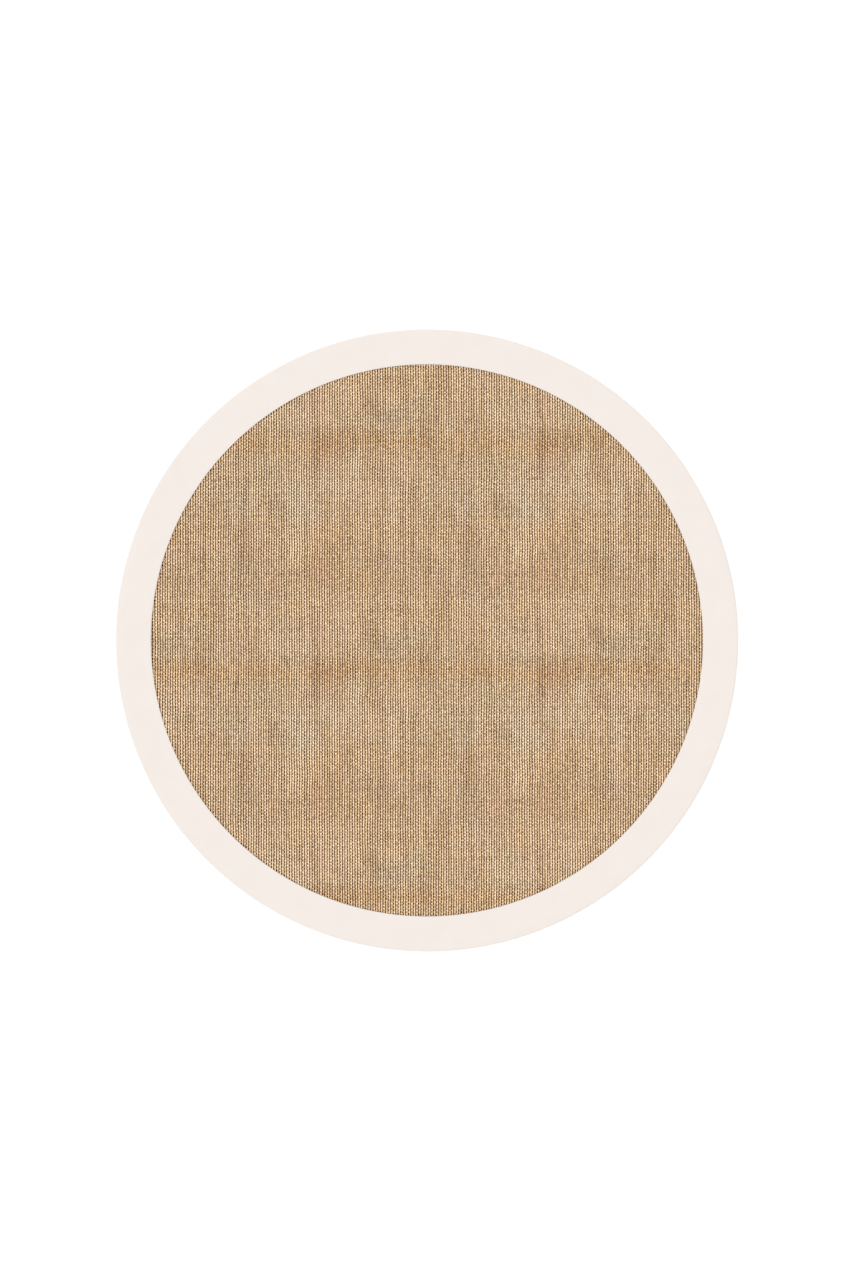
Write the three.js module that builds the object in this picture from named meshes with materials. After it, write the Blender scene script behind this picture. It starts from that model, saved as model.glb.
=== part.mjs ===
// Round polyester rug lying flat: a woven field and a wide cloth border sewn round its edge.
// Millimetres, +Z up. The origin is the middle of the underside, and the warp runs along Y.
import * as THREE from 'three';

// Driving dimensions
const rugDiameter = 1200;
const borderWidth = 67.5; // the cream band, as wide on the floor side as on top
const borderCloth = 1.2; // thickness of the border's cloth
const fieldThickness = 6; // over the crests of the yarns
const bandRise = 0.4; // the band's top above the field's top
const clearance = 0.3; // between the two pieces
const pressRun = 4; // the ring of the field that is pressed down beside the band
const roundSteps = 160; // facets round the rug
const foldSteps = 6; // facets over the folded edge

// Sizes that follow
const rugRadius = rugDiameter / 2;
const rugHeight = fieldThickness + bandRise;
const bandInnerRadius = rugRadius - borderWidth;
const midHeight = rugHeight / 2;
const foldOuterRadius = midHeight;
const foldInnerRadius = foldOuterRadius - borderCloth;
const foldCentre = rugRadius - foldOuterRadius;
const marginHalfThickness = foldInnerRadius - clearance;
const pressedRadius = bandInnerRadius - clearance;
const openRadius = pressedRadius - pressRun;

// Half a turn from straight down to straight up, bulging away from the axis.
function edgeArc(radius) {
  const points = [];
  for (let i = 0; i <= foldSteps; i += 1) {
    const angle = -Math.PI / 2 + (Math.PI * i) / foldSteps;
    points.push(new THREE.Vector2(
      foldCentre + radius * Math.cos(angle),
      midHeight + radius * Math.sin(angle),
    ));
  }
  return points;
}

// A section in (distance from the axis, height), counter-clockwise, turned about Z.
function turned(name, section, material) {
  const geometry = new THREE.LatheGeometry(section, roundSteps);
  const mesh = new THREE.Mesh(geometry, material);
  mesh.name = name;
  mesh.rotation.x = Math.PI / 2;
  return mesh;
}

// The field is cut almost to the rim. Its margin is pressed thinner inside the folded border.
function wovenField() {
  const section = [
    new THREE.Vector2(0, 0),
    new THREE.Vector2(openRadius, 0),
    new THREE.Vector2(pressedRadius, midHeight - marginHalfThickness),
    ...edgeArc(marginHalfThickness),
    new THREE.Vector2(pressedRadius, midHeight + marginHalfThickness),
    new THREE.Vector2(openRadius, fieldThickness),
    new THREE.Vector2(0, fieldThickness),
  ];
  const material = new THREE.MeshStandardMaterial({
    color: new THREE.Color().setRGB(190 / 255, 160 / 255, 127 / 255, THREE.SRGBColorSpace),
    roughness: 0.9,
    metalness: 0,
  });
  return turned('woven_field', section, material);
}

// One ring of cloth folded round the rim, with a band on top and an equal one on the floor side.
function creamBorder() {
  const section = [
    new THREE.Vector2(bandInnerRadius, 0),
    ...edgeArc(foldOuterRadius),
    new THREE.Vector2(bandInnerRadius, rugHeight),
    new THREE.Vector2(bandInnerRadius, rugHeight - borderCloth),
    ...edgeArc(foldInnerRadius).reverse(),
    new THREE.Vector2(bandInnerRadius, borderCloth),
    new THREE.Vector2(bandInnerRadius, 0),
  ];
  const material = new THREE.MeshStandardMaterial({
    color: new THREE.Color().setRGB(246 / 255, 237 / 255, 230 / 255, THREE.SRGBColorSpace),
    roughness: 0.85,
    metalness: 0,
  });
  return turned('cream_border', section, material);
}

const rug = new THREE.Group();
rug.add(wovenField(), creamBorder());

export default rug;
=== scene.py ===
# Round rug: a jute-look woven field, yarn by yarn, inside a wide cream cloth border
import math
import bpy
import numpy as np
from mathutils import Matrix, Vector


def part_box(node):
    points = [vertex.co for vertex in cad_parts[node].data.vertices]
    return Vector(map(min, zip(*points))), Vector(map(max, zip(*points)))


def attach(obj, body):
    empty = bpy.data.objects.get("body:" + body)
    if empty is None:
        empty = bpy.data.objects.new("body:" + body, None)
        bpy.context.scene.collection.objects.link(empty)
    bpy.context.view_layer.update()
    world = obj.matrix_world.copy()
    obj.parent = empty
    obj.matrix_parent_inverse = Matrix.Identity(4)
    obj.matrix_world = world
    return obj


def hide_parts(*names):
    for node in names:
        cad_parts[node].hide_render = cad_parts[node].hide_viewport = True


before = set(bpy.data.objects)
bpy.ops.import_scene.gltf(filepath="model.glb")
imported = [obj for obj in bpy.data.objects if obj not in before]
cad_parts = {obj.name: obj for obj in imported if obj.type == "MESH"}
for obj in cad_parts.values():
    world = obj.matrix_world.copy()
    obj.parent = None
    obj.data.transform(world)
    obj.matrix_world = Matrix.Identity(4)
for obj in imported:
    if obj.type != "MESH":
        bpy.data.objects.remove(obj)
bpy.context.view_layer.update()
print("frame loaded")

mm = 0.001
pxSize = 1.9293 * mm  # one pixel of the photograph on the rug
pictureWide = 853
pictureHigh = 1280
rugMiddlePx = (426.95, 640.4)
clothShare = 0.815  # the photograph is lit a little past white, so the cloth itself is darker

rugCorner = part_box("cream_border")[1]
rugRadius = rugCorner.x
rugTop = rugCorner.z
bandInner = rugRadius - 67.5 * mm


# Small tools

def linearOf(red, green, blue):
    # a colour of the photograph, 0 to 255, as the renderer's linear numbers
    parts = []
    for value in (red, green, blue):
        share = value / 255
        linear = share / 12.92 if share <= 0.04045 else ((share + 0.055) / 1.055) ** 2.4
        parts.append(clothShare * linear)
    return parts


def blurred(numbers, acrossBlur, alongBlur):
    # a soft average of numbers that wrap round at both edges
    across = np.fft.fftfreq(numbers.shape[0])[:, None] * acrossBlur
    along = np.fft.fftfreq(numbers.shape[1])[None, :] * alongBlur
    wave = np.fft.fft2(numbers) * np.exp(-2 * np.pi ** 2 * (across ** 2 + along ** 2))
    return np.real(np.fft.ifft2(wave))


def softField(rng, size, blur):
    # smooth random numbers with a mean of 0 and a spread of 1
    made = blurred(rng.standard_normal(size), *blur)
    return (made - made.mean()) / made.std()


def roundEdge(centre, middle, radius, steps):
    # half a turn from straight down to straight up, bulging away from the axis
    angles = np.radians(np.linspace(-90, 90, steps + 1))
    return [(centre + radius * math.cos(a), middle + radius * math.sin(a)) for a in angles]


def turned(section, steps, closed):
    # the points and faces of a section in (radius, height), counter-clockwise, turned about Z
    section = np.array(section)
    count = len(section)
    angle = 2 * np.pi * np.arange(steps) / steps
    points = np.stack([
        np.outer(np.cos(angle), section[:, 0]),
        np.outer(np.sin(angle), section[:, 0]),
        np.repeat(section[None, :, 1], steps, 0),
    ], -1)
    here = np.arange(steps)[:, None] * count
    ahead = np.roll(here, -1, 0)
    low = np.arange(count if closed else count - 1)[None, :]
    high = (low + 1) % count
    quads = np.stack([here + low, ahead + low, ahead + high, here + high], -1)
    return points.reshape(-1, 3), quads.reshape(-1, 4)


def placed(mesh, finish):
    # a finished mesh put into the scene as an object of the same name
    mesh.materials.append(finish)
    piece = bpy.data.objects.new(mesh.name, mesh)
    bpy.context.scene.collection.objects.link(piece)
    return piece


def newPiece(name, points, faces, finish, pointMarks=None, cornerMarks=None, plan=None):
    # a smooth piece whose faces all have as many corners; marks are numbers that its finish reads
    mesh = bpy.data.meshes.new(name)
    points = np.asarray(points, np.float32)
    faces = np.asarray(faces, np.int32)
    mesh.vertices.add(len(points))
    mesh.vertices.foreach_set("co", points.ravel())
    mesh.loops.add(faces.size)
    mesh.loops.foreach_set("vertex_index", faces.ravel())
    mesh.polygons.add(len(faces))
    mesh.polygons.foreach_set("loop_start", np.arange(0, faces.size, faces.shape[1], dtype=np.int32))
    mesh.update(calc_edges=True)
    mesh.polygons.foreach_set("use_smooth", np.full(len(faces), True))
    for domain, marks in (("POINT", pointMarks), ("CORNER", cornerMarks)):
        for label, numbers in (marks or {}).items():
            layer = mesh.attributes.new(label, "FLOAT", domain)
            layer.data.foreach_set("value", np.asarray(numbers, np.float32))
    if plan is not None:
        layer = mesh.uv_layers.new(name="OFBake")
        layer.uv.foreach_set("vector", np.asarray(plan, np.float32).ravel())
    return placed(mesh, finish)


# Shader expressions

class Value:
    # one socket, so that shader maths reads as plain arithmetic
    def __init__(self, finish, socket):
        self.finish = finish
        self.socket = socket

    def join(self, operation, other, swapped=False):
        pair = (other, self) if swapped else (self, other)
        return self.finish.node("ShaderNodeMath", {"operation": operation}, dict(enumerate(pair)))["Value"]

    def sine(self):
        return self.finish.node("ShaderNodeMath", {"operation": "SINE"}, {0: self})["Value"]

    def __add__(self, other):
        return self.join("ADD", other)

    def __radd__(self, other):
        return self.join("ADD", other, True)

    def __sub__(self, other):
        return self.join("SUBTRACT", other)

    def __rsub__(self, other):
        return self.join("SUBTRACT", other, True)

    def __mul__(self, other):
        return self.join("MULTIPLY", other)

    def __rmul__(self, other):
        return self.join("MULTIPLY", other, True)

    def __truediv__(self, other):
        return self.join("DIVIDE", other)

    def __rpow__(self, other):
        return self.join("POWER", other, True)


class Outputs:
    # a node's outputs by name or place
    def __init__(self, finish, node):
        self.finish = finish
        self.made = node

    def __getitem__(self, label):
        return Value(self.finish, self.made.outputs[label])


class Finish:
    # a material with one shader and one method for every node
    def __init__(self, name, look):
        self.material = bpy.data.materials.new(name)
        self.material.use_nodes = True
        self.tree = self.material.node_tree
        self.shader = self.tree.nodes["Principled BSDF"]
        self.shader.inputs["Roughness"].default_value = look["roughness"]
        self.shader.inputs["Specular IOR Level"].default_value = look["specular"]

    def node(self, kind, settings=None, sockets=None):
        made = self.tree.nodes.new(kind)
        for label, value in (settings or {}).items():
            if label == "stops":
                self.setStops(made.color_ramp, value)
            else:
                setattr(made, label, value)
        for label, value in (sockets or {}).items():
            self.feed(made.inputs[label], value)
        return Outputs(self, made)

    def setStops(self, ramp, stops):
        # a new ramp already has a first and a last stop
        for place, colour in stops[1:-1]:
            ramp.elements.new(place)
        for element, (place, colour) in zip(ramp.elements, stops):
            element.position = place
            element.color = (*linearOf(*colour), 1.0)

    def feed(self, socket, value):
        if isinstance(value, Value):
            self.tree.links.new(value.socket, socket)
        else:
            socket.default_value = value

    def place(self):
        return self.node("ShaderNodeTexCoord")["Object"]

    def attribute(self, label):
        return self.node("ShaderNodeAttribute", {"attribute_name": label})["Fac"]

    def softStep(self, value, low, high):
        sockets = {"Value": value, "From Min": low, "From Max": high}
        return self.node("ShaderNodeMapRange", {"interpolation_type": "SMOOTHSTEP"}, sockets)["Result"]

    def stretched(self, place, scales):
        return self.node("ShaderNodeVectorMath", {"operation": "MULTIPLY"}, {0: place, 1: scales})["Vector"]

    def noise(self, place, scale, detail):
        sockets = {"Vector": place, "Scale": scale, "Detail": detail}
        return self.node("ShaderNodeTexNoise", None, sockets)["Fac"]

    def ramp(self, share, stops):
        return self.node("ShaderNodeValToRGB", {"stops": stops}, {"Fac": share})["Color"]

    def paint(self, label, value):
        self.feed(self.shader.inputs[label], value)

    def bump(self, height, strength, deep):
        sockets = {"Height": height, "Strength": strength, "Distance": deep}
        self.paint("Normal", self.node("ShaderNodeBump", None, sockets)["Normal"])


print("tools ready")


# The weave: one crossing for each warp and weft, and the tones that repeat with the cloth

weave = {
    "fieldRadius": bandInner,
    "yarnEnd": bandInner + 1.4 * mm,  # the yarns run a little way under the band
    "lastStep": 0.8 * mm,  # the least length between a yarn's last free crossing and its end
    "warps": 218,
    "weftStep": 3.216 * mm,
    "pieces": 3,  # the warps are dealt out to so many pieces, and the wefts to as many
    "middle": 3.0 * mm,  # height of the cloth's middle layer
    "warpSwing": 1.42 * mm,
    "weftSwing": 1.25 * mm,
    "warpHalfWide": 1.52 * mm,
    "warpHalfHigh": 1.22 * mm,
    "weftHalfWide": 1.60 * mm,
    "weftHalfHigh": 1.10 * mm,
    "pressFrom": bandInner - 3.0 * mm,
    "pressTo": bandInner,
    "pressedShare": 0.82,
    "repeatWarps": 89,
    "repeatWefts": 137,
    "repeatEdgePx": (312.0, 523.0),
    "warpLean": -0.20 * mm,  # sideways lean of the crests, which opens every other space
    "weftLean": 0.20 * mm,
    "warpDrift": 0.16 * mm,  # how far a yarn wanders by itself
    "weftDrift": 0.048 * mm,
    "wander": 0.20 * mm,  # how far neighbouring warps wander together
    "slubby": {"warp": 0.07, "weft": 0.028},  # how uneven a yarn's thickness is
    "tones": {"stripe": 5.0, "pick": 2.0, "slub": 2.0, "warm": 2.6, "green": 1.2},  # steps of 255
    "blur": {  # how many crossings each unevenness spreads over, across the warps and along them
        "warpDrift": (0.8, 7),
        "weftDrift": (2, 0.8),
        "nearWander": (4, 3),
        "farWander": (6, 12),
        "stripe": (0.01, 14),
        "pick": (14, 0.01),
        "slub": (0.3, 3),
        "warm": (0.8, 1.5),
        "green": (0.8, 1.5),
        "spot": (1.2, 1.2),
        "warpThick": (0.2, 4),
        "weftThick": (1, 0.2),
    },
    "patchShare": {"light": 1.12, "warm": 1.5, "green": 1.5},  # how strongly the charted patches show
    "seed": 41,
}
yarnLook = {
    "roughness": 0.92,
    "specular": 0.0,
    # painted shade: a yarn's colour is dark where its rise is under one height and pale over another near
    # its crest, darker again towards its sides, where only a share of the paleness is left, and darker on
    # the side where it goes down
    "warp": {
        "hollowAt": 0.0,
        "crestAt": 0.5,
        "edgeFrom": 0.5,
        "edgeTo": 1.0,
        "edgeShare": 0.15,
        "fall": 0.0,
        "fibreScale": (2600, 260, 2600),
    },
    "weft": {
        "hollowAt": 0.1,
        "crestAt": 0.6,
        "edgeFrom": 0.7,
        "edgeTo": 1.0,
        "edgeShare": 0.85,
        "fall": 1.2,
        "fibreScale": (260, 2600, 2600),
    },
    "fibreShare": 0.08,
    "fibreDetail": 2,
    "fibreBump": (0.35, 0.4 * mm),  # strength and depth
    "palest": 18,  # the most that patches, flecks and spots add together, in steps of tone
    "spotShare": 0.05,  # how much the painted shade of the hollows varies from crossing to crossing
    "spotTone": 9.0,  # how much paler or darker a crossing is by itself, in steps of tone
    "fleckShare": 0.30,  # short pale and dark flecks in the spun yarn
    "fleckTone": 100,
    "fleckScale": (300, 300, 200),
    "fleckDetail": 1,
    "gain": (0.0100, 0.0115, 0.0140),  # red, green and blue for each step of tone
    "fullTint": {"red": 260, "green": 140, "blue": 190},  # steps that double red or green, or end blue
    "colours": [  # from the painted shade of the hollows to the crests
        (0.0, (62, 14, 0)),
        (0.24, (126, 69, 0)),
        (0.38, (156, 103, 18)),
        (0.51, (185, 138, 67)),
        (0.66, (214, 175, 115)),
        (0.79, (238, 205, 156)),
        (0.91, (255, 224, 185)),
        (1.0, (260, 231, 195)),
    ],
}
warpStep = 2 * weave["fieldRadius"] / weave["warps"]
repeatLeft = (weave["repeatEdgePx"][0] - rugMiddlePx[0]) * pxSize
repeatTop = (rugMiddlePx[1] - weave["repeatEdgePx"][1]) * pxSize

chartWide = 10  # the two charts below divide the repeat into tenths, across and down

# Soft patches of one repeat, charted. across and down are tenths of the repeat from its
# upper left corner, wide and tall are tenths too, light, warm and green are steps of 255.
patchColumns = ("across", "down", "wide", "tall", "light", "warm", "green")
patches = [
    # the rust and mustard band
    (0.4, 6.6, 0.5, 0.40, -14, 7, -4),
    (1.5, 6.4, 0.5, 0.28, -8, 5, 0),
    (2.8, 6.4, 0.5, 0.32, -12, 9, 0),
    (3.7, 6.6, 0.4, 0.30, -2, 4, 0),
    (4.6, 6.4, 0.5, 0.30, -9, 8, 0),
    (5.8, 6.5, 0.6, 0.28, -5, 5, 0),
    (7.4, 6.5, 0.8, 0.28, -4, 8, 0),
    (9.2, 6.7, 0.8, 0.28, 1, 6, 1),
    # above the band
    (0.5, 0.4, 0.6, 0.5, 2, 8, 0),
    (1.6, 0.1, 0.25, 0.5, -10, 2, 0),
    (1.3, 1.2, 0.4, 0.4, -5, 1, 0),
    (2.3, 0.3, 0.6, 0.35, 4, 5, 0),
    (5.1, 0.6, 0.8, 0.35, 0, 5, 0),
    (0.5, 1.7, 0.6, 0.6, -4, 4, -1),
    (2.6, 1.7, 0.25, 0.5, -10, 0, 0),
    (3.8, 1.2, 0.35, 0.4, 6, 0, 0),
    (3.4, 1.6, 0.35, 0.25, 0, -4, -3),
    (4.7, 1.7, 0.25, 0.35, -6, 0, 0),
    (5.8, 1.3, 0.4, 0.4, 5, 0, 0),
    (6.9, 0.5, 0.25, 0.6, -8, 0, -1),
    (7.0, 1.9, 0.3, 0.6, -13, -3, 0),
    (8.6, 0.6, 0.4, 0.5, 8, 1, 1),
    (9.3, 1.3, 0.4, 0.4, 8, 0, 2),
    (9.8, 0.2, 0.3, 0.3, 4, -4, 0),
    (1.2, 2.6, 0.5, 0.4, -5, 3, 0),
    (2.3, 2.6, 0.5, 0.35, 0, 6, 0),
    (0.2, 2.3, 0.3, 0.6, -4, 3, -3),
    (3.2, 2.4, 0.5, 0.4, -4, 0, 0),
    (6.3, 3.4, 0.22, 1.4, 5, 0, 0),
    (8.1, 2.6, 0.3, 0.3, 0, 5, -2),
    (9.3, 2.2, 0.7, 0.3, -5, 0, -2),
    (0.4, 3.4, 0.4, 0.5, 5, 1, 0),
    (3.6, 3.8, 0.3, 0.3, -6, 0, -1),
    (5.3, 3.8, 0.35, 0.4, 1, 5, 0),
    (7.5, 3.2, 0.4, 0.4, 3, -4, 0),
    (8.8, 3.8, 0.4, 0.3, -3, 0, 0),
    (9.3, 3.7, 0.3, 0.35, 1, 5, 1),
    (1.2, 4.6, 0.5, 0.7, 7, -2, 0),
    (0.3, 4.7, 0.3, 0.4, 0, 0, -3),
    (2.5, 4.7, 0.28, 0.4, -12, 1, 0),
    (3.1, 5.3, 0.35, 0.35, -8, -3, 0),
    (4.7, 4.7, 0.4, 0.35, -1, -4, 2),
    (7.9, 4.6, 0.35, 0.6, 6, -1, 0),
    (9.0, 4.6, 0.5, 0.4, 0, -4, 0),
    (3.7, 5.4, 0.6, 0.35, -3, -6, 0),
    (5.1, 5.7, 0.35, 0.3, -9, 0, 0),
    (5.9, 5.6, 0.35, 0.35, 0, -4, 0),
    (7.0, 5.5, 0.4, 0.4, -4, 0, 0),
    (8.3, 5.5, 0.4, 0.4, 4, -2, 1),
    (9.6, 5.4, 0.4, 0.4, 7, -5, 0),
    (9.3, 6.1, 0.3, 0.25, -6, 0, 0),
    # below it
    (1.9, 7.5, 0.22, 0.5, 13, -6, 2),
    (0.4, 7.6, 0.5, 0.4, 1, -3, -2),
    (2.6, 7.6, 0.35, 0.4, -8, 0, 0),
    (4.2, 7.7, 0.4, 0.3, 4, -1, 0),
    (5.8, 7.5, 0.5, 0.35, -5, 0, 0),
    (6.6, 7.8, 0.35, 0.3, 5, 0, 0),
    (7.9, 7.5, 0.5, 0.35, -1, -4, 2),
    (8.7, 7.8, 0.35, 0.35, 6, -3, 0),
    (9.6, 7.7, 0.3, 0.3, -5, 0, 0),
    (0.8, 8.3, 0.5, 0.35, 9, -4, 0),
    (0.5, 8.8, 0.25, 0.25, -5, 0, 0),
    (1.6, 8.8, 0.4, 0.5, 7, -4, 0),
    (2.4, 8.8, 0.3, 0.6, 8, 0, 0),
    (3.7, 8.5, 0.3, 0.5, 3, -5, 0),
    (4.5, 8.6, 0.3, 0.5, -5, 1, 0),
    (5.2, 8.5, 0.3, 0.4, 7, -3, 0),
    (6.5, 8.8, 0.7, 0.4, 0, -5, 1),
    (8.1, 8.4, 0.5, 0.3, 6, -3, 1),
    (8.4, 9.1, 0.3, 0.35, -6, -4, 0),
    (9.3, 8.8, 0.35, 0.6, 11, -8, 2),
    (3.7, 9.6, 0.25, 0.4, 11, -3, 0),
    (5.6, 9.7, 0.5, 0.4, -4, 1, 0),
    (6.8, 9.5, 0.35, 0.4, 4, -6, 0),
    (9.5, 9.6, 0.4, 0.4, 5, -6, 1),
    (0.2, 9.5, 0.3, 0.4, 3, -5, 0),
]

# Single picks that show as pale or dark lines: tenths of the repeat from its upper edge, and the steps
# of 255 that the pick adds
picks = [
    (0.1, -6),
    (1.6, -5),
    (3.4, 9),
    (4.9, 6),
    (6.1, -5),
    (8.1, -8),
    (8.55, 9),
    (8.7, -6),
    (8.95, 6),
    (9.7, -5),
    (9.9, 7),
]


def shortWay(offset):
    # the shorter way round the repeat
    return (offset + chartWide / 2) % chartWide - chartWide / 2


def patchTones():
    # the charted light, warm and green of each crossing in one repeat, wrapping round its edges
    across = (np.arange(weave["repeatWarps"]) + 0.5)[:, None] * chartWide / weave["repeatWarps"]
    down = (np.arange(weave["repeatWefts"]) + 0.5)[None, :] * chartWide / weave["repeatWefts"]
    tones = np.zeros((3, weave["repeatWarps"], weave["repeatWefts"]))
    for row in patches:
        patch = dict(zip(patchColumns, row))
        aside = shortWay(across - patch["across"]) / patch["wide"]
        below = shortWay(down - patch["down"]) / patch["tall"]
        mask = np.exp(-0.5 * (aside ** 2 + below ** 2))
        for tone, (label, share) in zip(tones, weave["patchShare"].items()):
            tone += share * patch[label] * mask
    for down, light in picks:
        tones[0][:, int(down * weave["repeatWefts"] / chartWide)] += light
    return tones - tones.mean((1, 2), keepdims=True)


def woven():
    # every crossing of the cloth: its place, which yarn is on top, and its tones
    half = weave["yarnEnd"]
    step = weave["weftStep"]
    firstWarp = math.ceil((-half - repeatLeft) / warpStep - 0.5) - 1
    lastWarp = math.floor((half - repeatLeft) / warpStep - 0.5) + 1
    firstWeft = math.ceil((repeatTop - half) / step - 0.5) - 1
    lastWeft = math.floor((repeatTop + half) / step - 0.5) + 1
    warp = np.arange(firstWarp, lastWarp + 1)[:, None]
    weft = np.arange(firstWeft, lastWeft + 1)[None, :]
    inWarp = warp % weave["repeatWarps"]
    inWeft = weft % weave["repeatWefts"]
    size = (weave["repeatWarps"], weave["repeatWefts"])
    rng = np.random.default_rng(weave["seed"])
    blur, tones = weave["blur"], weave["tones"]
    sideways = weave["warpDrift"] * softField(rng, size, blur["warpDrift"])
    nearWander, farWander = (softField(rng, size, blur[label]) for label in ("nearWander", "farWander"))
    sideways = sideways + weave["wander"] * (nearWander + farWander)
    upward = weave["weftDrift"] * softField(rng, size, blur["weftDrift"])
    light, warm, green = patchTones()
    for label in ("stripe", "pick", "slub"):
        light = light + tones[label] * softField(rng, size, blur[label])
    warm = warm + tones["warm"] * softField(rng, size, blur["warm"])
    green = green + tones["green"] * softField(rng, size, blur["green"])
    grid = {
        "warpUp": (warp + weft) % 2 == 0,
        "x": repeatLeft + (warp + 0.5) * warpStep + sideways[inWarp, inWeft],
        "y": repeatTop - (weft + 0.5) * step + upward[inWarp, inWeft],
        "light": light[inWarp, inWeft],
        "warm": warm[inWarp, inWeft],
        "green": green[inWarp, inWeft],
    }
    for kind in ("warp", "weft"):
        spots = rng.standard_normal(size)
        spots = spots - blurred(spots, *blur["spot"])
        grid[kind + "Spot"] = spots[inWarp, inWeft]
    for kind in ("warp", "weft"):
        uneven = weave["slubby"][kind] * softField(rng, size, blur[kind + "Thick"])
        grid[kind + "Thick"] = 1 + uneven[inWarp, inWeft]
    return grid


toneLabels = ("light", "warm", "green", "spot")


def yarnRun(x, y, up, light, warm, green, spot, thick, kind):
    # one closed four-sided yarn with a ring at each crossing; kind says which way it runs
    alongY = kind == "warp"
    reach = np.sqrt(np.maximum(weave["yarnEnd"] ** 2 - (x if alongY else y) ** 2, 0))
    along = y if alongY else x
    inside = np.flatnonzero(np.abs(along) < reach - weave["lastStep"])
    if len(inside) < 2:
        return None
    kept = slice(max(inside[0] - 1, 0), inside[-1] + 2)
    x, y, up, thick, reach = (part[kept] for part in (x, y, up, thick, reach))
    tones = np.stack([light, warm, green, spot])[:, kept]
    if alongY:
        y = np.clip(y, -reach, reach)
    else:
        x = np.clip(x, -reach, reach)
    pressing = np.clip((np.hypot(x, y) - weave["pressFrom"]) / (weave["pressTo"] - weave["pressFrom"]), 0, 1)
    pressed = 1 - (1 - weave["pressedShare"]) * pressing ** 2 * (3 - 2 * pressing)
    overUnder = np.where(up, 1.0, -1.0)
    swing = weave[kind + "Swing"] * overUnder * pressed
    halfWide = weave[kind + "HalfWide"] * thick
    halfHigh = weave[kind + "HalfHigh"] * thick * pressed
    x = x + weave[kind + "Lean"] * (overUnder if alongY else 1.0)
    aside = np.array([-1.0, 0.0, 1.0, 0.0])
    lift = np.array([0.0, 1.0, 0.0, -1.0])
    ring = np.empty((len(x), 4, 3))
    ring[..., 0] = x[:, None] + (halfWide[:, None] * aside if alongY else 0)
    ring[..., 1] = y[:, None] + (0 if alongY else halfWide[:, None] * aside)
    ring[..., 2] = (weave["middle"] + swing)[:, None] + halfHigh[:, None] * lift
    crest = weave[kind + "Swing"] + weave[kind + "HalfHigh"]
    rise = np.stack([halfHigh + swing, halfHigh - swing], 1) / crest
    return ring, np.repeat(tones[:, :, None], 4, 2), rise


def yarnRuns(grid, kind):
    # every yarn that runs one way, in turn
    labels = ("x", "y", "warpUp", "light", "warm", "green", kind + "Spot", kind + "Thick")
    rows = [grid[label] if kind == "warp" else grid[label].T for label in labels]
    if kind == "weft":
        rows[2] = ~rows[2]
    runs = [yarnRun(*line, kind) for line in zip(*rows)]
    return [run for run in runs if run is not None]


# The corners of a yarn's face: how far ahead along the yarn, and how far round it
faceCorners = np.array([[0, 0], [0, 1], [1, 1], [1, 0]])


def cornerValues(rise):
    # at each face corner: the height between hollow and crest, upper faces by the upper side and
    # lower by the lower, the way out from the ridge to the side, and whether the yarn falls there
    # the yarn finish turns these three into painted shade
    count = len(rise) - 1
    made = {label: np.empty((count, 4, 4)) for label in ("rise", "edge", "fall")}
    for face in range(4):
        side = rise[:, face // 2]
        made["fall"][:, face] = (side[:-1] > side[1:])[:, None]
        for spot, (ahead, turn) in enumerate(faceCorners):
            made["rise"][:, face, spot] = side[ahead:count + ahead]
            made["edge"][:, face, spot] = (face + turn + 1) % 2
    return made


# The yarns' map: a strip for each yarn, with its two ends in the room left beside the strip. Sizes along
# the strip are shares of the map, those up it are shares of the strip's height.
yarnMap = {
    "stripFrom": 0.002,
    "stripLow": 0.04,
    "endFrom": 0.0005,
    "endLow": 0.2,
    "endWide": 0.001,
    "endTall": 0.5,
}


def yarnPlan(place, faceCount, stripHigh):
    # where one yarn's faces and its two ends lie on the map
    ahead, turn = faceCorners.T
    strip = np.empty((faceCount, 4, 4, 2))
    along = (np.arange(faceCount)[:, None, None] + ahead) / faceCount
    up = (np.arange(4)[None, :, None] + turn) / 4
    strip[..., 0] = yarnMap["stripFrom"] + (1 - 2 * yarnMap["stripFrom"]) * along
    strip[..., 1] = (place + yarnMap["stripLow"] + (1 - 2 * yarnMap["stripLow"]) * up) * stripHigh
    square = faceCorners * np.array([yarnMap["endWide"], yarnMap["endTall"] * stripHigh])
    parts = [strip.reshape(-1, 2)]
    for left in (yarnMap["endFrom"], 1 - yarnMap["endFrom"] - yarnMap["endWide"]):
        parts.append(square + np.array([left, (place + yarnMap["endLow"]) * stripHigh]))
    return np.concatenate(parts)


def yarnPiece(name, runs, finish):
    # joins many yarns into one mesh
    points, tones, quads, plan = [], [], [], []
    marks = {"rise": [], "edge": [], "fall": []}
    start = 0
    ahead, turn = faceCorners.T
    for place, (ring, tone, rise) in enumerate(runs):
        count = len(ring)
        points.append(ring.reshape(-1, 3))
        tones.append(tone.reshape(len(toneLabels), -1))
        base = start + 4 * np.arange(count - 1)[:, None, None]
        index = base + 4 * ahead + (np.arange(4)[None, :, None] + turn) % 4
        last = start + 4 * (count - 1)
        quads += [index.reshape(-1, 4), start + np.array([[0, 1, 2, 3]]), last + np.array([[3, 2, 1, 0]])]
        for label, numbers in cornerValues(rise).items():
            marks[label] += [numbers.ravel(), np.zeros(8)]
        plan.append(yarnPlan(place, count - 1, 1 / len(runs)))
        start += 4 * count
    return newPiece(
        name,
        np.concatenate(points),
        np.concatenate(quads),
        finish,
        dict(zip(toneLabels, np.concatenate(tones, 1))),
        {label: np.concatenate(numbers) for label, numbers in marks.items()},
        np.concatenate(plan),
    )


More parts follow.
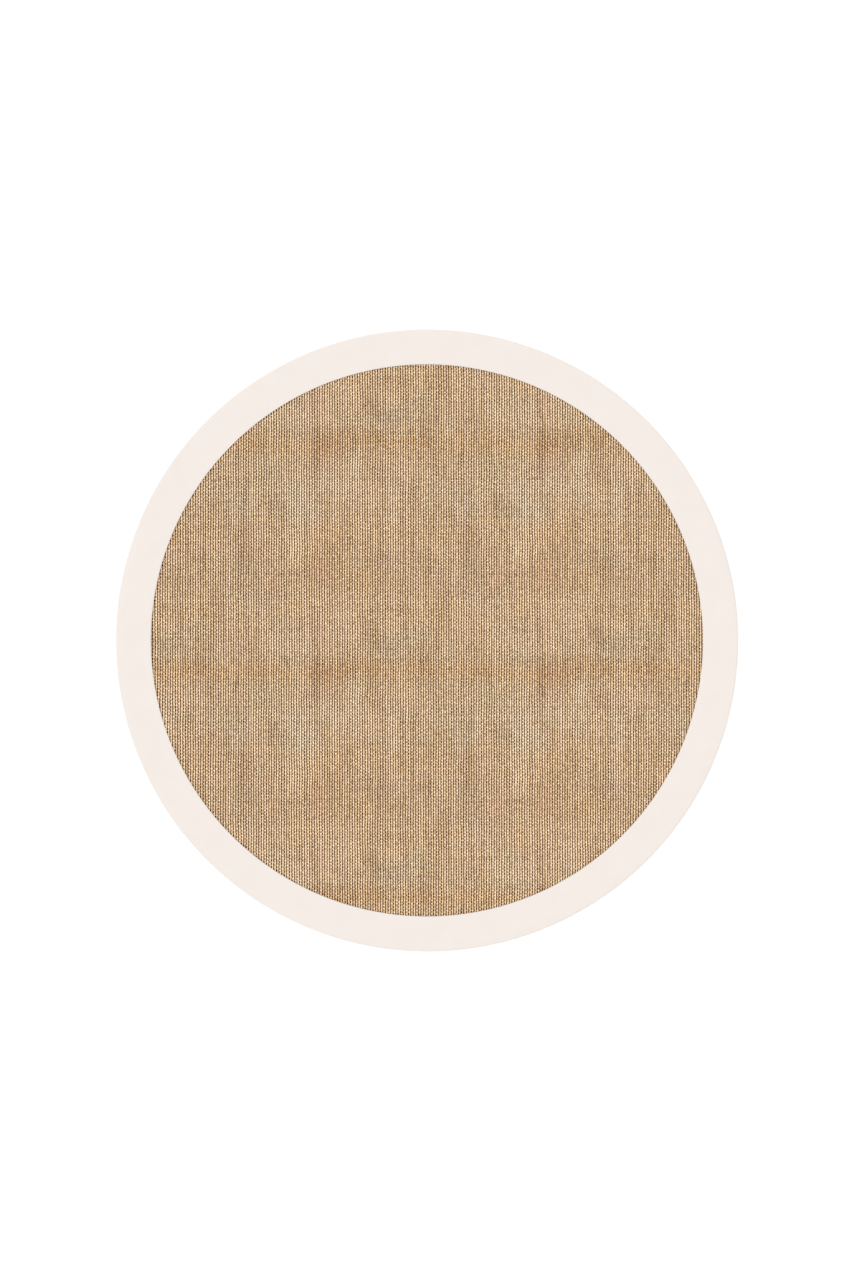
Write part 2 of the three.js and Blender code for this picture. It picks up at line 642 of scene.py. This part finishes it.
def yarnFinish(kind):
    # matt fibres, pale on the crests, with painted shade in the hollows between them, towards their sides
    # and where they go down
    look = yarnLook
    form = look[kind]
    finish = Finish(kind + " yarn", look)
    place = finish.place()
    rise, edge, fall = (finish.attribute(label) for label in ("rise", "edge", "fall"))
    light, warm, green, spot = (finish.attribute(label) for label in toneLabels)
    # painted shade on the side where the yarn goes down
    if form["fall"]:
        rise = rise - fall * form["fall"] * (1 - rise)
    # painted shade in the hollows and towards the sides
    crest = finish.softStep(rise, form["hollowAt"], form["crestAt"])
    crest = crest * (1 - (1 - form["edgeShare"]) * finish.softStep(edge, form["edgeFrom"], form["edgeTo"]))
    fibre = finish.noise(finish.stretched(place, form["fibreScale"]), 1.0, look["fibreDetail"])
    fleck = finish.noise(finish.stretched(place, look["fleckScale"]), 1.0, look["fleckDetail"])
    crest = crest + spot * look["spotShare"]
    crest = crest + (fibre - 0.5) * look["fibreShare"] + (fleck - 0.5) * look["fleckShare"]
    speckle = spot * look["spotTone"] + (fleck - 0.5) * look["fleckTone"]
    tone = (light + speckle).join("MINIMUM", look["palest"])
    redGain, greenGain, blueGain = (math.exp(gain) ** tone for gain in look["gain"])
    tints = {
        "Red": redGain * (1 + warm / look["fullTint"]["red"]),
        "Green": greenGain * (1 + green / look["fullTint"]["green"]),
        "Blue": blueGain * (1 - warm / look["fullTint"]["blue"]),
    }
    tint = finish.node("ShaderNodeCombineColor", None, tints)["Color"]
    multiply = {"data_type": "RGBA", "blend_type": "MULTIPLY"}
    colours = {0: 1.0, 6: finish.ramp(crest, look["colours"]), 7: tint}
    finish.paint("Base Color", finish.node("ShaderNodeMix", multiply, colours)[2])
    finish.bump(fibre, *look["fibreBump"])
    return finish.material


# The cloth's body: a thin middle layer that fills the spaces, thicker where the border presses it; its dark
# colour is painted shade, seen in the spaces between the yarns

clothBody = {
    "halfThick": 0.45 * mm,
    "marginLow": 1.5 * mm,
    "marginHigh": 4.9 * mm,
    "marginFrom": bandInner + 0.9 * mm,
    "marginRun": 0.8 * mm,  # how far it takes to thicken into the margin
    "rim": rugRadius - 1.5 * mm,
    "rings": (0.02, 0.1, 0.2, 0.3, 0.4, 0.5),  # radii that divide the flat middle
    "rimSteps": 8,
    "steps": 192,
    "roughness": 0.95,
    "specular": 0.15,
    "noise": (900, 3),  # scale and detail
    # painted shade: dark browns that stand for the shade between the yarns
    "colours": [(0.3, (54, 20, 0)), (0.75, (104, 62, 12))],
    "bump": (0.5, 0.5 * mm),  # strength and depth
}


def clothSection():
    # from the middle of the underside out to the rim and back to the middle of the top
    low, high = clothBody["marginLow"], clothBody["marginHigh"]
    under, over = weave["middle"] - clothBody["halfThick"], weave["middle"] + clothBody["halfThick"]
    half = (high - low) / 2
    flat = (*clothBody["rings"], clothBody["marginFrom"])
    thickFrom = clothBody["marginFrom"] + clothBody["marginRun"]
    rim = roundEdge(clothBody["rim"] - half, (low + high) / 2, half, clothBody["rimSteps"])
    outward = [(r, under) for r in flat] + [(thickFrom, low)]
    inward = [(thickFrom, high)] + [(r, over) for r in reversed(flat)]
    return outward + rim + inward


def clothBodyPiece(finish):
    # the turned section, closed at its middle by a fan of triangles on each side
    section = clothSection()
    points, quads = turned(section, clothBody["steps"], False)
    lowMiddle, highMiddle = len(points), len(points) + 1
    points = np.vstack([points, [0, 0, section[0][1]], [0, 0, section[-1][1]]])
    here = np.arange(clothBody["steps"]) * len(section)
    ahead = np.roll(here, -1)
    top = len(section) - 1
    faces = quads.tolist()
    faces += [(lowMiddle, b, a) for a, b in zip(here.tolist(), ahead.tolist())]
    faces += [(highMiddle, a + top, b + top) for a, b in zip(here.tolist(), ahead.tolist())]
    mesh = bpy.data.meshes.new("field_cloth")
    mesh.from_pydata(points.tolist(), [], faces)
    mesh.polygons.foreach_set("use_smooth", np.full(len(mesh.polygons), False))
    return placed(mesh, finish)


# painted shade: the dark fill seen between the yarns
def shadeFillFinish():
    finish = Finish("painted shade fill", clothBody)
    fibre = finish.noise(finish.place(), *clothBody["noise"])
    finish.paint("Base Color", finish.ramp(fibre, clothBody["colours"]))
    finish.bump(fibre, *clothBody["bump"])
    return finish.material


body = clothBodyPiece(shadeFillFinish())
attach(body, "root")
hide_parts("woven_field")
print("cloth body made")

grid = woven()
yarns = []
for kind in ("warp", "weft"):
    finish = yarnFinish(kind)
    runs = yarnRuns(grid, kind)
    for part in range(weave["pieces"]):
        piece = yarnPiece(f"{kind}_yarns_{part + 1}", runs[part::weave["pieces"]], finish)
        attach(piece, "root")
        yarns.append(piece)
        print(piece.name, len(piece.data.polygons) * 2, "triangles")
print("yarns made")


# The border: one ring of cloth folded round the rim

border = {
    "cloth": 1.2 * mm,
    "hemDip": 0.75 * mm,  # how far the sewing pulls the inner edge down
    "hemRun": 3.5 * mm,
    "hemRound": 0.12 * mm,  # how much the cloth's cut edge is rounded
    "hemShares": (0.8, 0.6, 0.4, 0.2, 0.07),  # where the hem's curve has points
    "bandShares": (0.1, 0.25, 0.5, 0.75),  # and where the band has
    "steps": 320,
    "edgeSteps": 10,
    "roughness": 0.88,
    "specular": 0.25,
    "softNoise": (22, 3),  # scale and detail
    "softTone": 0.5,
    "fineNoise": (900, 2),
    "fineTone": 0.4,
    "threadPair": 1.1 * mm,  # two threads of the border's fine plain weave
    "threadTone": 0.16,
    "threadHeight": 0.5,
    "swayNoise": (45, 2),
    "threadSway": 5.0,  # how unevenly the threads lie, in radians of the weave's wave
    "colours": [(0.25, (245, 236, 229)), (0.75, (250, 241, 234))],
    "bump": (0.35, 0.3 * mm),  # strength and depth
}


def borderSection():
    thick, run, dip = border["cloth"], border["hemRun"], border["hemDip"]
    middle = rugTop / 2
    centre = rugRadius - middle
    outer = roundEdge(centre, middle, middle, border["edgeSteps"])
    inner = roundEdge(centre, middle, middle - thick, border["edgeSteps"])
    across = [bandInner + run] + [bandInner + t * (centre - bandInner) for t in border["bandShares"]]
    topRow = [(r, rugTop) for r in reversed(across)]
    hem = [(bandInner + run * t, rugTop - dip * (1 - t) ** 2) for t in border["hemShares"]]
    hem += [(bandInner, rugTop - dip - border["hemRound"]), (bandInner, rugTop - thick)]
    underTop = [(r, rugTop - thick) for r in across]
    overLow = [(r, thick) for r in reversed(across)]
    lowHem = [(r, rugTop - z) for r, z in reversed(hem)]
    bottom = [(r, 0.0) for r in across]
    return outer + topRow + hem + underTop + inner[::-1] + overLow + lowHem + bottom


def borderFinish():
    # cream cloth whose fine threads cross as two waves
    finish = Finish("cream cloth", border)
    place = finish.place()
    soft = finish.noise(place, *border["softNoise"])
    fine = finish.noise(place, *border["fineNoise"])
    sway = finish.noise(place, *border["swayNoise"])
    axes = finish.node("ShaderNodeSeparateXYZ", None, {"Vector": place})
    turns = 2 * math.pi / border["threadPair"]
    waveX, waveY = ((axes[axis] * turns + sway * border["threadSway"]).sine() for axis in ("X", "Y"))
    threads = waveX * waveY
    tone = 0.5 + (soft - 0.5) * border["softTone"] + (fine - 0.5) * border["fineTone"]
    tone = tone + threads * border["threadTone"]
    finish.paint("Base Color", finish.ramp(tone, border["colours"]))
    finish.bump(fine + threads * border["threadHeight"], *border["bump"])
    return finish.material


# The seam: one row of stitches on the band and one on the floor side, just outside its inner edge

seam = {
    "inset": 1.3 * mm,
    "pitch": 5.0 * mm,
    "length": 4.0 * mm,
    "shoulder": 0.32,  # where a stitch is thickest, as a share of its length from its middle
    "halfWide": 0.38 * mm,
    "halfHigh": 0.24 * mm,
    "ends": 0.35 * mm,  # how far a stitch's ends sink into the cloth
    "roughness": 0.8,
    "specular": 0.2,
    "twist": (1600, 2),  # scale and detail
    "colours": [(0.3, (244, 234, 224)), (0.7, (250, 242, 234))],
    "bump": (0.4, 0.2 * mm),  # strength and depth
}


def seamPiece(finish):
    # each stitch is a slim closed bead: an end point, two rings of four and an end point
    radius = bandInner + seam["inset"]
    count = round(2 * math.pi * radius / seam["pitch"])
    drop = border["hemDip"] * (1 - seam["inset"] / border["hemRun"]) ** 2
    along = seam["length"] * np.repeat([-0.5, -seam["shoulder"], seam["shoulder"], 0.5], [1, 4, 4, 1])
    aside = seam["halfWide"] * np.array([0, -1, 0, 1, 0, -1, 0, 1, 0, 0])
    lift = seam["halfHigh"] * np.array([0, 0, 1, 0, -1, 0, 1, 0, -1, 0])
    lift[[0, 9]] -= seam["ends"]
    faces = np.array([
        (0, 2, 1), (0, 3, 2), (0, 4, 3), (0, 1, 4),
        (1, 2, 6), (1, 6, 5), (2, 3, 7), (2, 7, 6), (3, 4, 8), (3, 8, 7), (4, 1, 5), (4, 5, 8),
        (9, 5, 6), (9, 6, 7), (9, 7, 8), (9, 8, 5),
    ])
    out = radius + aside
    points, triangles = [], []
    for side, shift in ((1, 0), (-1, 0.5)):
        angle = 2 * np.pi * (np.arange(count)[:, None] + shift) / count
        bead = angle + along / radius
        high = np.tile(rugTop / 2 + side * (rugTop / 2 - drop + lift), (count, 1))
        base = len(along) * (len(points) * count + np.arange(count)[:, None, None])
        points.append(np.stack([out * np.cos(bead), out * np.sin(bead), high], -1).reshape(-1, 3))
        triangles.append((base + faces[:, ::side]).reshape(-1, 3))
    return newPiece("border_stitches", np.concatenate(points), np.concatenate(triangles), finish)


def threadFinish():
    finish = Finish("cream thread", seam)
    twist = finish.noise(finish.place(), *seam["twist"])
    finish.paint("Base Color", finish.ramp(twist, seam["colours"]))
    finish.bump(twist, *seam["bump"])
    return finish.material


ring = newPiece("border_cloth", *turned(borderSection(), border["steps"], True), borderFinish())
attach(ring, "root")
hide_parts("cream_border")
stitches = seamPiece(threadFinish())
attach(stitches, "root")
foldCentre = rugRadius - rugTop / 2
foldRun = math.pi * (rugTop / 2 - border["cloth"] / 2)
cutArea = 2 * math.pi * (foldCentre ** 2 - bandInner ** 2) + 2 * math.pi * (rugRadius - 2 * mm) * foldRun
cutWide = 2 * (foldCentre - bandInner) + foldRun
print("border made")
pieces = [body, *yarns, ring, stitches]
total = sum(len(face.vertices) - 2 for piece in pieces for face in piece.data.polygons)
print(total, "triangles in all")


# Floor, light and camera

studio = {
    "floorHalf": 20.0,
    "floorColour": (0.95, 0.95, 0.95),
    "roughness": 0.9,
    "specular": 0.1,
    "skyColour": (1.0, 1.0, 1.0),
    "sky": 1.10,
    "sun": 0.47,
    "sunFrom": (-1.0, 0.45, 1.60),
    "sunSoft": 30,
    "lens": 85,
    "sensor": 36,
    "farthest": 100,
}

floorFinish = Finish("pale floor", studio)
floorFinish.paint("Base Color", (*studio["floorColour"], 1.0))
floorMesh = bpy.data.meshes.new("floor")
square = ((-1, -1, 0), (1, -1, 0), (1, 1, 0), (-1, 1, 0))
floorMesh.from_pydata([Vector(corner) * studio["floorHalf"] for corner in square], [], [(0, 1, 2, 3)])
floor = placed(floorMesh, floorFinish.material)

world = bpy.data.worlds.new("studio")
world.use_nodes = True
sky = world.node_tree.nodes["Background"]
sky.inputs["Color"].default_value = (*studio["skyColour"], 1.0)
sky.inputs["Strength"].default_value = studio["sky"]
bpy.context.scene.world = world

sunLamp = bpy.data.lights.new("soft side light", "SUN")
sunLamp.energy = studio["sun"]
sunLamp.angle = math.radians(studio["sunSoft"])
sun = bpy.data.objects.new("soft side light", sunLamp)
sun.rotation_euler = Vector(studio["sunFrom"]).to_track_quat("Z", "Y").to_euler()
bpy.context.scene.collection.objects.link(sun)

lens = bpy.data.cameras.new("camera")
lens.lens = studio["lens"]
lens.sensor_width = studio["sensor"]
lens.sensor_fit = "AUTO"
lens.clip_end = studio["farthest"]
camera = bpy.data.objects.new("camera", lens)
camera.location = (
    (pictureWide / 2 - rugMiddlePx[0]) * pxSize,
    (rugMiddlePx[1] - pictureHigh / 2) * pxSize,
    rugTop + pictureHigh * pxSize * studio["lens"] / studio["sensor"],
)
bpy.context.scene.collection.objects.link(camera)
bpy.context.scene.camera = camera
bpy.context.scene.view_settings.view_transform = "Standard"
print("studio made")
